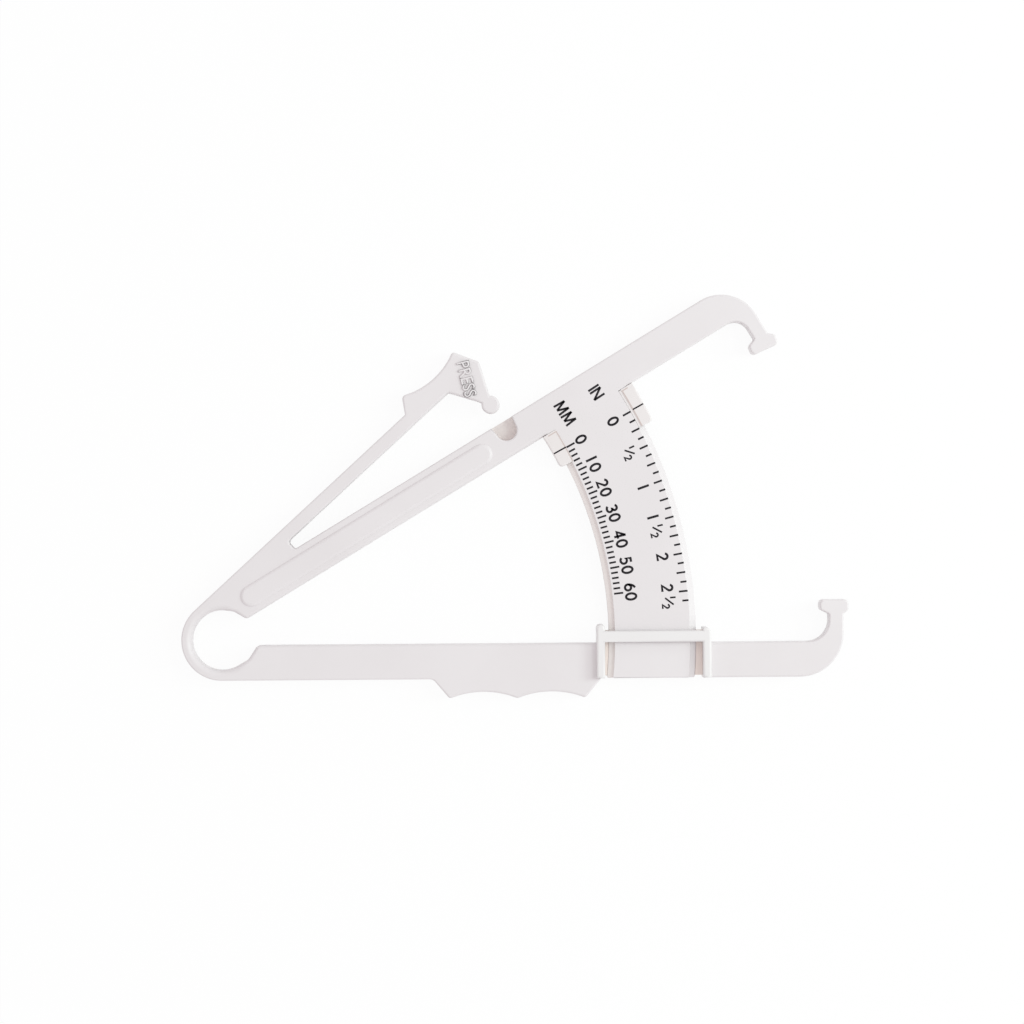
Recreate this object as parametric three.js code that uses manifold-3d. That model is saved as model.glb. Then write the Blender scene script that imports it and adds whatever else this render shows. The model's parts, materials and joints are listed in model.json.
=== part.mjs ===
// Skinfold caliper, lying on its back with the printed side up.
//
// Two flat arms are joined by a C-shaped spring loop, and close on a fold of skin held between the feet
// of their jaws. A curved scale arc on the upper arm runs through a guide on the lower arm. A slider
// clipped round the arc stays where the guide pushes it, and so keeps the reading. A press lever on the
// upper arm clicks its ball into a pocket when the right pressure is reached.
//
// Units are millimetres. Each arm has a frame of its own at the centre of the spring loop, with X along
// the arm. The lower arm's frame is the model's, with Y towards the upper arm and Z up, out of the
// printed side. The finished model is moved so that its origin is at the middle of its underside.
import * as THREE from "three";
import { mergeVertices } from "three/addons/utils/BufferGeometryUtils.js";
import Module from "manifold-3d";

// Arms
const ARM_THICKNESS = 6.0; // from the underside to the face of the arms, jaws and lever
const UPPER_ARM_WIDTH = 8.55;
const MOUTH_OFFSET = 1.35; // from the line through the loop's centre to each arm's inner edge
const OPEN_ANGLE = 31.1; // between the arms as moulded, degrees

// Spring loop
const LOOP_BORE = 7.5; // inner radius
const LOOP_WALL = 2.6;
const LOWER_MOUTH_ANGLE = 60; // where the bore's round ends on the lower arm, degrees below its X
const LOWER_MOUTH_RUN = 3.3; // the straight run that follows it
const LOWER_NOSE = 8.9; // from the loop's centre to the corner of the arm's inner edge
const LOWER_NOSE_RADIUS = 1.5;
const UPPER_MOUTH_ANGLE = 52; // the same four on the upper arm, above its X
const UPPER_MOUTH_RUN = 2.1;
const UPPER_NOSE = 8.1;
const UPPER_NOSE_RADIUS = 0.8;
const MOUTH_KNEE_RADIUS = 2.5;

// Jaws and feet
const JAW_REACH = 153.3; // from the loop's centre to the middle of the lower foot
const UPPER_JAW_LEAD = 0.8; // how much further out the upper foot is
const LOWER_JAW_OUTER_RADIUS = 11.0;
const LOWER_JAW_INNER_RADIUS = 5.4;
const UPPER_JAW_OUTER_RADIUS = 10.2;
const UPPER_JAW_INNER_RADIUS = 3.8;
const NECK_WIDTH = 3.65;
const LOWER_NECK_SHIFT = 0.5; // of the neck past the middle of the foot
const UPPER_NECK_SHIFT = 0.7;
const NECK_FLARE = 0.7; // how much the neck widens on each side where it meets the foot
const NECK_FLARE_HEIGHT = 1.4;
const NECK_FLARE_RADIUS = 1.0;
const FOOT_WIDTH = 7.2;
const FOOT_THICKNESS = 2.5;
const FOOT_CORNER = 1.0;
const FOOT_HEIGHT = 9.1; // from the line through the loop's centre to the face of the foot

// Finger grip under the lower arm
const GRIP_START = 52.2; // from the loop's centre
const GRIP_LEAD = 4.7; // from the start of the grip to its first tooth
const GRIP_PITCH = 17.0; // between teeth
const GRIP_TOOTH_GAPS = 2; // hollows for the fingers
const GRIP_TAIL = 4.0; // from the last tooth to the end of the grip
const GRIP_DEPTH = 4.9; // from the arm's lower edge to the tip of a tooth
const GRIP_HOLLOW = 1.65; // depth of a hollow
const GRIP_TOOTH_RADIUS = 0.9;

// Scale arc, a strip of a ring round the loop's centre
const ARC_INNER = 96.85; // inner radius
const ARC_WIDTH = 21.85;
const ARC_LIFT = 2.4; // of its back above the underside of the arms
const ARC_RAIL = 1.5; // width of the rail along each edge
const RAIL_STEP = 0.9; // from the printed face down to the rail
const RAIL_FALL = 0.8; // how far the rail slopes down to its edge

// Guide that the arc runs through
const GUIDE_PROUD = 2.2; // of the posts and the bar above the face of the arms
const GUIDE_POST = 2.1; // width of a post
const GUIDE_LEFT_GAP = 1.0; // from the arc's inner radius to the left post
const GUIDE_RIGHT_GAP = 1.6; // from the arc's outer radius to the right post
const GUIDE_FACE_GAP = 0.4; // between the arc and the web behind it, and the bar in front
const GUIDE_BAR_TOP = 1.7; // from the line through the loop's centre
const GUIDE_BAR_WIDTH = 2.8;
const GUIDE_WEB_TOP = 2.5; // from the line through the loop's centre
const GUIDE_WEB_INSET = 0.6; // from the arm's lower edge to the web's
const GUIDE_NUB = 3.3; // top of the left post, from the line through the loop's centre
const GUIDE_NUB_RADIUS = 0.9;
const GUIDE_CORNER = 1.5;

// Slider
const SLIDER_FIT = 0.25; // clearance all round the arc
const SLIDER_LEFT_WALL = 1.5;
const SLIDER_RIGHT_WALL = 2.15;
const SLIDER_FLOOR_GAP = 0.55; // from the underside of the arms up to the slider's back
const SLIDER_PROUD = 0.15; // how far its lips stand above the printed face
const SLIDER_ANGLE = 4.5; // from the upper arm's X down to the slider's lower end, degrees
const SLIDER_TOP_GAP = 0.3; // left between the slider and the upper arm

// Press lever. Its frame is turned from the upper arm's, and its outer edge is tangent to the loop.
const LEVER_ANGLE = 11.4; // between the upper arm and the lever, degrees
const LEVER_THICKNESS = 3.3;
const SLOT_END = 28.9; // along the lever, from the loop's centre to the end of the slot
const SLOT_CORNER = 0.8;
const FLEXURE_SETBACK = 1.3; // from the end of the slot to the strip that bends
const FLEXURE_LENGTH = 4.0;
const PRESS_ANGLE = 7.0; // from rest until the ball is home, degrees

// Thumb pad, measured from its start along the lever, and from the lever's outer edge
const PAD_START = 72.0; // along the lever, from the loop's centre
const PAD_BACK = 2.6; // along, to the hump behind the thumb
const PAD_BACK_HEIGHT = 4.0;
const PAD_FRONT = 19.4; // along, to the front edge of the hollow
const PAD_FRONT_HEIGHT = 3.5;
const PAD_HOLLOW = 1.95; // depth of the hollow that the thumb rests in
const PAD_NOSE = 22.6; // along, to the nose
const PAD_NOSE_DROP = 2.9;
const PAD_KNEE = 11.7; // along, to where the underside turns down to the neck
const PAD_CORNER = 0.8;
const PAD_BACK_RADIUS = 1.1;

// Ball and its pocket
const BALL_RADIUS = 2.25;
const BALL_THICKNESS = 3.7;
const BALL_ALONG = 17.4; // from the start of the pad
const BALL_DROP = 12.7; // from the lever's outer edge to the middle of the ball
const NECK_RISE = 3.2; // from the middle of the ball to the pad
const NECK_ROOT_WIDTH = 4.1; // of the ball's neck at the pad
const NECK_TIP_WIDTH = 2.8; // and at the ball
const POCKET_FIT = 0.4; // clearance round the ball when it is home
const POCKET_FLARE = 0.3; // how much the pocket's mouth widens on each side

// Label panel, raised on the upper arm
const PANEL_START = 9.3; // from the loop's centre
const PANEL_LENGTH = 73.3;
const PANEL_WIDTH = 5.7;
const PANEL_INSET = 1.4; // from the arm's inner edge
const PANEL_RAISE = 0.5;

// Facets and cutters
const RING_STEPS = 240; // in a full turn of the scale arc
const LOOP_STEPS = 32; // in the spring loop
const CURVE_STEPS = 12; // in the larger curves
const CORNER_STEPS = 5; // in a rounded corner
const OVERRUN = 1.0; // how far a cutter runs past what it cuts
const HALF_TURN = 180; // degrees

// Colours of the white plastic
const ARM_COLOUR = 0xe5e0e1;
const PANEL_COLOUR = 0xe6e1e2;
const ARC_COLOUR = 0xe7e2e3;
const GUIDE_COLOUR = 0xebe9e9;
const LEVER_COLOUR = 0xe5e0e1;
const SLIDER_COLOUR = 0xefeae6;
const ARM_ROUGHNESS = 0.42;
const SLIDER_ROUGHNESS = 0.38;

// Places worked out from the sizes above
const loopOuter = LOOP_BORE + LOOP_WALL;
const lowerInnerEdge = -MOUTH_OFFSET;
const lowerOuterEdge = -loopOuter;
const upperInnerEdge = MOUTH_OFFSET;
const upperOuterEdge = MOUTH_OFFSET + UPPER_ARM_WIDTH;
const upperJawReach = JAW_REACH + UPPER_JAW_LEAD;
const rad = THREE.MathUtils.degToRad;
const closedAngle = THREE.MathUtils.radToDeg(Math.atan(FOOT_HEIGHT / upperJawReach)) * 2;

const arcOuter = ARC_INNER + ARC_WIDTH;
const railTop = ARM_THICKNESS - RAIL_STEP;
const windowLeft = ARC_INNER - GUIDE_LEFT_GAP;
const windowRight = arcOuter + GUIDE_RIGHT_GAP;
const guideLeft = windowLeft - GUIDE_POST;
const guideRight = windowRight + GUIDE_POST;
const guideTop = ARM_THICKNESS + GUIDE_PROUD;

const leverInnerEdge = loopOuter - LEVER_THICKNESS;
const flexureStart = SLOT_END + FLEXURE_SETBACK;
const leafStart = flexureStart + FLEXURE_LENGTH;
const ballUnderside = ARM_THICKNESS - BALL_THICKNESS;

// Solids
const wasm = await Module();
wasm.setup();

function solid(geometry) {
  const bare = geometry.index ? geometry.toNonIndexed() : geometry.clone();
  bare.deleteAttribute("normal");
  bare.deleteAttribute("uv");
  const merged = mergeVertices(bare);
  const mesh = new wasm.Mesh({
    numProp: 3,
    vertProperties: merged.attributes.position.array,
    triVerts: new Uint32Array(merged.index.array),
  });
  return new wasm.Manifold(mesh);
}

// A flat outline raised from one height to another.
function plate(outline, low, high) {
  const geometry = new THREE.ExtrudeGeometry(new THREE.Shape(outline), {
    depth: high - low,
    bevelEnabled: false,
  });
  geometry.translate(0, 0, low);
  return solid(geometry);
}

// A section of radius and height, counterclockwise, turned once round the loop's centre.
function ring(section) {
  const closed = [...section, section[0]];
  const points = closed.map(([radius, height]) => new THREE.Vector2(radius, height));
  const geometry = new THREE.LatheGeometry(points, RING_STEPS);
  geometry.rotateX(rad(HALF_TURN / 2));
  return solid(geometry);
}

function piece(name, manifold, colour, roughness = ARM_ROUGHNESS) {
  const mesh = manifold.getMesh();
  const indexed = new THREE.BufferGeometry();
  indexed.setAttribute("position", new THREE.BufferAttribute(mesh.vertProperties, mesh.numProp));
  indexed.setIndex(new THREE.BufferAttribute(mesh.triVerts, 1));
  const geometry = indexed.toNonIndexed();
  geometry.computeVertexNormals();
  const material = new THREE.MeshStandardMaterial({ color: colour, roughness, metalness: 0 });
  const made = new THREE.Mesh(geometry, material);
  made.name = name;
  return made;
}

// Outlines. A point may carry the radius that its corner is rounded to.
function at(x, y, radius = 0) {
  return Object.assign(new THREE.Vector2(x, y), { radius });
}

function polar(radius, angle) {
  return at(radius * Math.cos(rad(angle)), radius * Math.sin(rad(angle)));
}

function turned(point, angle) {
  const moved = point.clone().rotateAround(at(0, 0), rad(angle));
  return at(moved.x, moved.y, point.radius);
}

// An arc round the loop's centre, from one angle to another, in degrees.
function round(radius, from, to, steps = CURVE_STEPS) {
  return Array.from({ length: steps + 1 }, (_, i) => polar(radius, from + ((to - from) * i) / steps));
}

// A shallow arc between two points, sunk to the right of the line from the first to the second.
function hollow(start, end, depth) {
  const chord = end.clone().sub(start);
  const half = chord.length() / 2;
  const radius = (half * half + depth * depth) / (2 * depth);
  const left = at(-chord.y, chord.x).normalize();
  const centre = start.clone().lerp(end, 1 / 2).addScaledVector(left, radius - depth);
  const turn = 2 * Math.asin(half / radius);
  return Array.from({ length: CURVE_STEPS - 1 }, (_, i) =>
    start.clone().rotateAround(centre, (turn * (i + 1)) / CURVE_STEPS),
  );
}

function corner(before, point, after) {
  const into = point.clone().sub(before).normalize();
  const out = after.clone().sub(point).normalize();
  const turn = Math.atan2(into.cross(out), into.dot(out));
  const start = point.clone().addScaledVector(into, -point.radius * Math.tan(Math.abs(turn) / 2));
  const centre = start.clone().addScaledVector(at(-into.y, into.x), point.radius * Math.sign(turn));
  return Array.from({ length: CORNER_STEPS + 1 }, (_, i) =>
    start.clone().rotateAround(centre, (turn * i) / CORNER_STEPS),
  );
}

// The outline with each corner that has a radius rounded to it.
function rounded(points) {
  return points.flatMap((point, i) =>
    point.radius ? corner(points.at(i - 1), point, points[(i + 1) % points.length]) : [point],
  );
}

function box(left, lower, right, upper) {
  return [at(left, lower), at(right, lower), at(right, upper), at(left, upper)];
}

// Lower arm
function lowerArm() {
  const leave = polar(LOOP_BORE, -LOWER_MOUTH_ANGLE);
  const along = polar(LOWER_MOUTH_RUN, HALF_TURN / 2 - LOWER_MOUTH_ANGLE);
  const outline = rounded([
    ...round(LOOP_BORE, -HALF_TURN / 2, -LOWER_MOUTH_ANGLE, CORNER_STEPS),
    at(leave.x + along.x, leave.y + along.y, MOUTH_KNEE_RADIUS),
    at(LOWER_NOSE, lowerInnerEdge, LOWER_NOSE_RADIUS),
    at(guideLeft, lowerInnerEdge),
    at(guideLeft, lowerOuterEdge),
    at(0, lowerOuterEdge),
  ]);
  return plate(outline, 0, ARM_THICKNESS);
}

function fingerGrip() {
  const tip = lowerOuterEdge - GRIP_DEPTH;
  const firstTooth = GRIP_START + GRIP_LEAD;
  const teeth = Array.from({ length: GRIP_TOOTH_GAPS + 1 }, (_, i) =>
    at(firstTooth + GRIP_PITCH * i, tip, GRIP_TOOTH_RADIUS),
  );
  const lastTooth = teeth.at(-1);
  const edge = teeth.flatMap((tooth, i) =>
    i < GRIP_TOOTH_GAPS ? [tooth, ...hollow(teeth[i + 1], tooth, GRIP_HOLLOW).reverse()] : [tooth],
  );
  const outline = rounded([
    at(GRIP_START, lowerOuterEdge),
    ...edge,
    at(lastTooth.x + GRIP_TAIL, lowerOuterEdge),
  ]);
  return plate(outline, 0, ARM_THICKNESS);
}

// A jaw from the end of its arm to the back of its foot. The foot's frame is turned from the arm's.
function jaw(reach, neckShift, outerEdge, innerEdge, outerRadius, innerRadius, footTurn) {
  const towards = Math.sign(innerEdge - outerEdge);
  const middle = reach + neckShift;
  const half = NECK_WIDTH / 2;
  const seat = (side) => turned(at(middle + side * (half + NECK_FLARE), footSeat(towards)), footTurn);
  const left = seat(-1);
  const right = seat(1);
  const flare = towards * NECK_FLARE_HEIGHT;
  const outline = rounded([
    at(guideRight, outerEdge),
    at(middle + half, outerEdge, outerRadius),
    at(middle + half, right.y - flare, NECK_FLARE_RADIUS),
    right,
    left,
    at(middle - half, left.y - flare, NECK_FLARE_RADIUS),
    at(middle - half, innerEdge, innerRadius),
    at(guideRight, innerEdge),
  ]);
  return plate(outline, 0, ARM_THICKNESS);
}

// Height of a foot's back in the frame that both feet share when the jaws are shut.
function footSeat(towards) {
  return FOOT_HEIGHT - towards * FOOT_THICKNESS;
}

function foot(reach, towards, footTurn) {
  const half = FOOT_WIDTH / 2;
  const outline = box(reach - half, footSeat(towards), reach + half, FOOT_HEIGHT);
  outline.forEach((point) => {
    point.radius = FOOT_CORNER;
  });
  return plate(rounded(outline.map((point) => turned(point, footTurn))), 0, ARM_THICKNESS);
}

// Guide
function guideLeftPost() {
  const outline = rounded([
    at(guideLeft, lowerOuterEdge),
    at(windowLeft, lowerOuterEdge),
    at(windowLeft, GUIDE_NUB, GUIDE_NUB_RADIUS),
    at(guideLeft, GUIDE_NUB, GUIDE_NUB_RADIUS),
  ]);
  return plate(outline, 0, guideTop);
}

function guideRightPost() {
  const outline = rounded([
    at(windowRight, lowerOuterEdge),
    at(guideRight, lowerOuterEdge),
    at(guideRight, GUIDE_WEB_TOP, GUIDE_CORNER),
    at(windowRight, GUIDE_WEB_TOP),
  ]);
  return plate(outline, 0, guideTop);
}

function guideFrontBar() {
  const outline = box(windowLeft, GUIDE_BAR_TOP - GUIDE_BAR_WIDTH, windowRight, GUIDE_BAR_TOP);
  return plate(outline, ARM_THICKNESS + GUIDE_FACE_GAP, guideTop);
}

function guideBackWeb() {
  const outline = box(windowLeft, lowerOuterEdge + GUIDE_WEB_INSET, windowRight, GUIDE_WEB_TOP);
  return plate(outline, 0, ARC_LIFT - GUIDE_FACE_GAP);
}

// Spring loop, from the lower arm round to where the lever's outer edge leaves it
function springLoop() {
  const start = HALF_TURN / 2 + OPEN_ANGLE + LEVER_ANGLE;
  const end = (HALF_TURN * 3) / 2;
  const outline = [
    ...round(loopOuter, start, end, LOOP_STEPS),
    ...round(LOOP_BORE, end, start, LOOP_STEPS),
  ];
  return plate(outline, 0, ARM_THICKNESS);
}

// Upper arm. Points of the lever's frame are turned into the arm's.
function onLever(x, y, radius) {
  return turned(at(x, y, radius), LEVER_ANGLE);
}

// Where the end of the slot meets the arm's outer edge, up the lever's frame.
const slotFloor =
  (upperOuterEdge - SLOT_END * Math.sin(rad(LEVER_ANGLE))) / Math.cos(rad(LEVER_ANGLE));
const leverPivot = at(SLOT_END, (leverInnerEdge + slotFloor) / 2);
const slotCorner = Math.min(SLOT_CORNER, (leverInnerEdge - slotFloor) / 3);

function pocket() {
  const ball = at(PAD_START + BALL_ALONG, loopOuter - BALL_DROP);
  const home = turned(ball.rotateAround(leverPivot, -rad(PRESS_ANGLE)), LEVER_ANGLE);
  const radius = BALL_RADIUS + POCKET_FIT;
  const mouth = radius + POCKET_FLARE;
  const floor = ballUnderside - POCKET_FIT;
  const outline = [
    ...round(radius, -HALF_TURN, 0).map((point) => at(home.x + point.x, home.y + point.y)),
    at(home.x + mouth, upperOuterEdge + OVERRUN),
    at(home.x - mouth, upperOuterEdge + OVERRUN),
  ];
  return plate(outline, floor, ARM_THICKNESS + OVERRUN);
}

function upperArm() {
  const leave = polar(LOOP_BORE, UPPER_MOUTH_ANGLE);
  const along = polar(UPPER_MOUTH_RUN, UPPER_MOUTH_ANGLE - HALF_TURN / 2);
  const outline = rounded([
    ...round(LOOP_BORE, HALF_TURN / 2 + LEVER_ANGLE, UPPER_MOUTH_ANGLE),
    at(leave.x + along.x, leave.y + along.y, MOUTH_KNEE_RADIUS),
    at(UPPER_NOSE, upperInnerEdge, UPPER_NOSE_RADIUS),
    at(guideRight, upperInnerEdge),
    at(guideRight, upperOuterEdge),
    onLever(SLOT_END, slotFloor, slotCorner),
    onLever(SLOT_END, leverInnerEdge, slotCorner),
    onLever(flexureStart, leverInnerEdge),
    onLever(flexureStart, loopOuter),
    onLever(0, loopOuter),
  ]);
  return plate(outline, 0, ARM_THICKNESS).subtract(pocket());
}

function labelPanel() {
  const radius = PANEL_WIDTH / 2;
  const middle = upperInnerEdge + PANEL_INSET + radius;
  const end = (x, from) =>
    round(radius, from, from + HALF_TURN).map((point) => at(x + point.x, middle + point.y));
  const outline = [
    ...end(PANEL_START + PANEL_LENGTH - radius, -HALF_TURN / 2),
    ...end(PANEL_START + radius, HALF_TURN / 2),
  ];
  return plate(outline, ARM_THICKNESS, ARM_THICKNESS + PANEL_RAISE);
}

// Scale arc. Its free end lies along the lower arm's outer edge while the jaws are open.
function scaleArc() {
  const strip = ring([
    [ARC_INNER, ARC_LIFT],
    [arcOuter, ARC_LIFT],
    [arcOuter, railTop - RAIL_FALL],
    [arcOuter - ARC_RAIL, railTop],
    [arcOuter - ARC_RAIL, ARM_THICKNESS],
    [ARC_INNER + ARC_RAIL, ARM_THICKNESS],
    [ARC_INNER + ARC_RAIL, railTop],
    [ARC_INNER, railTop - RAIL_FALL],
  ]);
  const margin = (arcOuter - ARC_INNER) / 2;
  const outline = [
    at(ARC_INNER - margin, upperInnerEdge),
    turned(at(ARC_INNER - margin, lowerOuterEdge), -OPEN_ANGLE),
    turned(at(arcOuter + margin, lowerOuterEdge), -OPEN_ANGLE),
    at(arcOuter + margin, upperInnerEdge),
  ];
  return strip.intersect(plate(outline, ARC_LIFT - OVERRUN, ARM_THICKNESS + OVERRUN));
}

// Slider, a channel that wraps the arc's back and edges and closes over its rails
function slider() {
  const back = ARC_LIFT - SLIDER_FIT;
  const left = ARC_INNER - SLIDER_FIT;
  const right = arcOuter + SLIDER_FIT;
  const lipLeft = ARC_INNER + ARC_RAIL - SLIDER_FIT;
  const lipRight = arcOuter - ARC_RAIL + SLIDER_FIT;
  const face = ARM_THICKNESS + SLIDER_PROUD;
  const lipEdge = railTop + SLIDER_FIT;
  const channel = ring([
    [left - SLIDER_LEFT_WALL, SLIDER_FLOOR_GAP],
    [right + SLIDER_RIGHT_WALL, SLIDER_FLOOR_GAP],
    [right + SLIDER_RIGHT_WALL, face],
    [lipRight, face],
    [lipRight, lipEdge],
    [right, lipEdge - RAIL_FALL],
    [right, back],
    [left, back],
    [left, lipEdge - RAIL_FALL],
    [lipLeft, lipEdge],
    [lipLeft, face],
    [left - SLIDER_LEFT_WALL, face],
  ]);
  const margin = SLIDER_LEFT_WALL + SLIDER_RIGHT_WALL + OVERRUN;
  const outline = [
    at(ARC_INNER - margin, upperInnerEdge - SLIDER_TOP_GAP),
    polar(ARC_INNER - margin, -SLIDER_ANGLE),
    polar(arcOuter + margin, -SLIDER_ANGLE),
    at(arcOuter + margin, upperInnerEdge - SLIDER_TOP_GAP),
  ];
  return channel.intersect(plate(outline, -OVERRUN, face + OVERRUN));
}

// Press lever, in its own frame
function leverStrip(from, to) {
  return plate(box(from, leverInnerEdge, to, loopOuter), 0, ARM_THICKNESS);
}

function thumbPad() {
  const backEdge = at(PAD_START + PAD_BACK, loopOuter + PAD_BACK_HEIGHT, PAD_BACK_RADIUS);
  const frontEdge = at(PAD_START + PAD_FRONT, loopOuter + PAD_FRONT_HEIGHT, PAD_CORNER);
  const ballPlace = PAD_START + BALL_ALONG;
  const neckTop = loopOuter - BALL_DROP + NECK_RISE;
  const outline = rounded([
    at(PAD_START, leverInnerEdge),
    at(PAD_START + PAD_KNEE, leverInnerEdge, PAD_CORNER),
    at(ballPlace - NECK_ROOT_WIDTH / 2, neckTop),
    at(ballPlace + NECK_ROOT_WIDTH / 2, neckTop),
    at(PAD_START + PAD_NOSE, loopOuter - PAD_NOSE_DROP, PAD_CORNER),
    frontEdge,
    ...hollow(backEdge, frontEdge, PAD_HOLLOW).reverse(),
    backEdge,
    at(PAD_START, loopOuter),
  ]);
  return plate(outline, 0, ARM_THICKNESS);
}

function clickBall() {
  const x = PAD_START + BALL_ALONG;
  const y = loopOuter - BALL_DROP;
  const ball = round(BALL_RADIUS, 0, HALF_TURN * 2, CURVE_STEPS * 2).slice(1);
  const disc = ball.map((point) => at(x + point.x, y + point.y));
  const neck = [
    at(x - NECK_TIP_WIDTH / 2, y),
    at(x + NECK_TIP_WIDTH / 2, y),
    at(x + NECK_ROOT_WIDTH / 2, y + NECK_RISE),
    at(x - NECK_ROOT_WIDTH / 2, y + NECK_RISE),
  ];
  return plate(disc, ballUnderside, ARM_THICKNESS).add(plate(neck, ballUnderside, ARM_THICKNESS));
}

// Assembly
const leverGroup = new THREE.Group();
leverGroup.rotation.z = rad(LEVER_ANGLE);
leverGroup.add(
  piece("lever_flexure", leverStrip(flexureStart, leafStart), LEVER_COLOUR),
  piece("lever_leaf", leverStrip(leafStart, PAD_START), LEVER_COLOUR),
  piece("thumb_pad", thumbPad(), LEVER_COLOUR),
  piece("click_ball", clickBall(), LEVER_COLOUR),
);

const upperGroup = new THREE.Group();
upperGroup.rotation.z = rad(OPEN_ANGLE);
upperGroup.add(
  piece("upper_arm", upperArm(), ARM_COLOUR),
  piece("label_panel", labelPanel(), PANEL_COLOUR),
  piece(
    "upper_jaw",
    jaw(
      upperJawReach,
      UPPER_NECK_SHIFT,
      upperOuterEdge,
      upperInnerEdge,
      UPPER_JAW_OUTER_RADIUS,
      UPPER_JAW_INNER_RADIUS,
      -closedAngle,
    ),
    ARM_COLOUR,
  ),
  piece("upper_jaw_foot", foot(upperJawReach, -1, -closedAngle), ARM_COLOUR),
  piece("scale_arc", scaleArc(), ARC_COLOUR),
  piece("slider", slider(), SLIDER_COLOUR, SLIDER_ROUGHNESS),
  leverGroup,
);

const caliper = new THREE.Group();
caliper.add(
  piece("lower_arm", lowerArm(), ARM_COLOUR),
  piece("finger_grip", fingerGrip(), ARM_COLOUR),
  piece(
    "lower_jaw",
    jaw(
      JAW_REACH,
      LOWER_NECK_SHIFT,
      lowerOuterEdge,
      lowerInnerEdge,
      LOWER_JAW_OUTER_RADIUS,
      LOWER_JAW_INNER_RADIUS,
      0,
    ),
    ARM_COLOUR,
  ),
  piece("lower_jaw_foot", foot(JAW_REACH, 1, 0), ARM_COLOUR),
  piece("guide_left_post", guideLeftPost(), GUIDE_COLOUR),
  piece("guide_right_post", guideRightPost(), GUIDE_COLOUR),
  piece("guide_front_bar", guideFrontBar(), GUIDE_COLOUR),
  piece("guide_back_web", guideBackWeb(), GUIDE_COLOUR),
  piece("spring_loop", springLoop(), ARM_COLOUR),
  upperGroup,
);

const bounds = new THREE.Box3().setFromObject(caliper, true);
const middle = bounds.getCenter(new THREE.Vector3());
caliper.position.set(-middle.x, -middle.y, -bounds.min.z);

const model = new THREE.Group();
model.add(caliper);

export default model;
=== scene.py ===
import json
import math
from collections import namedtuple

import bmesh
import bpy
import numpy as np
from mathutils import Matrix, Vector

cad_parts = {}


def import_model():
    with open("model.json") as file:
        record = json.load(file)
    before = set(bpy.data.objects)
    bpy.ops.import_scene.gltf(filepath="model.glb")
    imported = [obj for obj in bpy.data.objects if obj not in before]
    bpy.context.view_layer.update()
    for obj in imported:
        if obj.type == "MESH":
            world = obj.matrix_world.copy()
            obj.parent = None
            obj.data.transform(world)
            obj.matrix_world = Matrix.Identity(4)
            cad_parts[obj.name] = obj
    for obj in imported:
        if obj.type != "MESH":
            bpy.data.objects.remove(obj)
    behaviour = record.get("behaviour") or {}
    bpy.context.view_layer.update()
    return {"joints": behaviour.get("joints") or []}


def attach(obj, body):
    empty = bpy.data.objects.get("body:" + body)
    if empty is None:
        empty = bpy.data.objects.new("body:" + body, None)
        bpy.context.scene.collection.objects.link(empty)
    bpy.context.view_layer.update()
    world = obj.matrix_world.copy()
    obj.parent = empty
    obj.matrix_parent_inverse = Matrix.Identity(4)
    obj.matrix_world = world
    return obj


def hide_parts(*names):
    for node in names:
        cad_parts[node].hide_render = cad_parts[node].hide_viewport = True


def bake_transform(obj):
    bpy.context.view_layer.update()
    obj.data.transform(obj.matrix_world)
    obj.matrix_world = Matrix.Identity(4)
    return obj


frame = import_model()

# Skinfold caliper in white moulded plastic, lying with its printed side up. Lengths are millimetres
# until a mesh is made, and angles are degrees. Each arm has a frame of its own at the spring loop's
# centre, with X along the arm, as the model under it has.
MM = 0.001

# Arms
THICKNESS = 6.0
MOUTH_OFFSET = 1.35
UPPER_WIDTH = 8.55
OPEN_ANGLE = 31.1
LOOP_BORE = 7.5
LOOP_WALL = 2.6
LOWER_MOUTH_ANGLE = 60
LOWER_MOUTH_RUN = 3.3
LOWER_NOSE = 8.9
LOWER_NOSE_RADIUS = 1.5
UPPER_MOUTH_ANGLE = 52
UPPER_MOUTH_RUN = 2.1
UPPER_NOSE = 8.1
UPPER_NOSE_RADIUS = 1.0
UPPER_NOSE_ROUND = 0.7
KNEE_RADIUS = 2.5

# Jaws and feet
JAW_REACH = 153.3
UPPER_JAW_LEAD = 0.8
LOWER_OUTER_RADIUS = 11.0
LOWER_INNER_RADIUS = 5.4
UPPER_OUTER_RADIUS = 10.2
UPPER_INNER_RADIUS = 3.8
NECK_WIDTH = 3.65
LOWER_NECK_SHIFT = 0.5
UPPER_NECK_SHIFT = 0.7
NECK_ROOT_DEPTH = 3.6
NECK_ROOT_RADIUS = 0.5
FOOT_WIDTH = 7.2
FOOT_THICKNESS = 2.5
FOOT_CORNER = 1.1
FOOT_HEIGHT = 9.1

# Finger grip
GRIP_START = 52.8
GRIP_START_RADIUS = 2.0
GRIP_LEAD = 4.1
GRIP_PITCH = 17.0
GRIP_GAPS = 2
GRIP_TAIL = 4.0
GRIP_DEPTH = 4.9
GRIP_HOLLOW = 1.65
GRIP_TOOTH_RADIUS = 0.9

# Scale arc and guide
ARC_INNER = 96.85
ARC_WIDTH = 21.85
ARC_LIFT = 2.4
ARC_RAIL = 1.5
RAIL_STEP = 0.9
LEFT_RAIL_FALL = 0.25
RIGHT_RAIL_FALL = 0.5
ARC_END_ROUND = 0.35
ARC_CORNER = 0.2
RAIL_CORNER = 0.12
ARC_STATIONS = 48
GUIDE_PROUD = 2.2
GUIDE_POST = 2.1
GUIDE_LEFT_GAP = 1.0
GUIDE_RIGHT_GAP = 1.6
GUIDE_FACE_GAP = 0.4
GUIDE_BAR_TOP = 1.7
GUIDE_BAR_WIDTH = 2.8
GUIDE_WEB_TOP = 2.5
GUIDE_WEB_INSET = 0.6
GUIDE_NUB = 3.3
GUIDE_NUB_RADIUS = 0.9
GUIDE_CORNER = 1.4
RUNNER_GAP = 0.03
RUNNER_TOP = 4.75
RUNNER_ROUND = 0.15
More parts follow.
